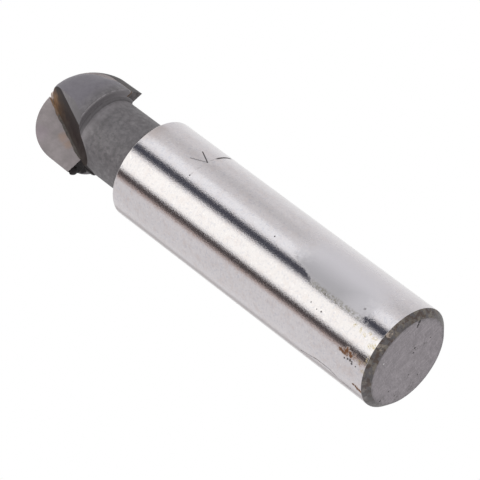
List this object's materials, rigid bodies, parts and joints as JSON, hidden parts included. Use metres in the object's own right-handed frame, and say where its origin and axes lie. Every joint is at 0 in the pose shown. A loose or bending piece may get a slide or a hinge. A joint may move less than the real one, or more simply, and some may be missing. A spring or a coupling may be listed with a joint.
{
  "type": "core box router bit",
  "caption": "Core box router bit with a ground round shank, a slim neck and a round-nosed head whose brazed carbide tips cut half-round grooves.",
  "frame": {"origin": "centre of the shank's end face, which is the surface that the bit stands on", "axes": "+Z along the bit's axis from the shank end to the nose; +X from the axis to the first carbide tip; +Y the way the first tip's rake face looks"},
  "size_m": [0.012, 0.012, 0.0557],
  "materials": {
    "tool_steel": "ground bright on the shank, dark and matte on the neck and head",
    "carbide": "ground tungsten carbide, satin grey",
    "braze": "dull brazing brass"
  },
  "bodies": {
    "root": {"cutter_body": "tool_steel", "carbide_tip_1": "carbide", "carbide_tip_2": "carbide", "braze_layer_1": "braze", "braze_layer_2": "braze"}
  },
  "joints": []
}
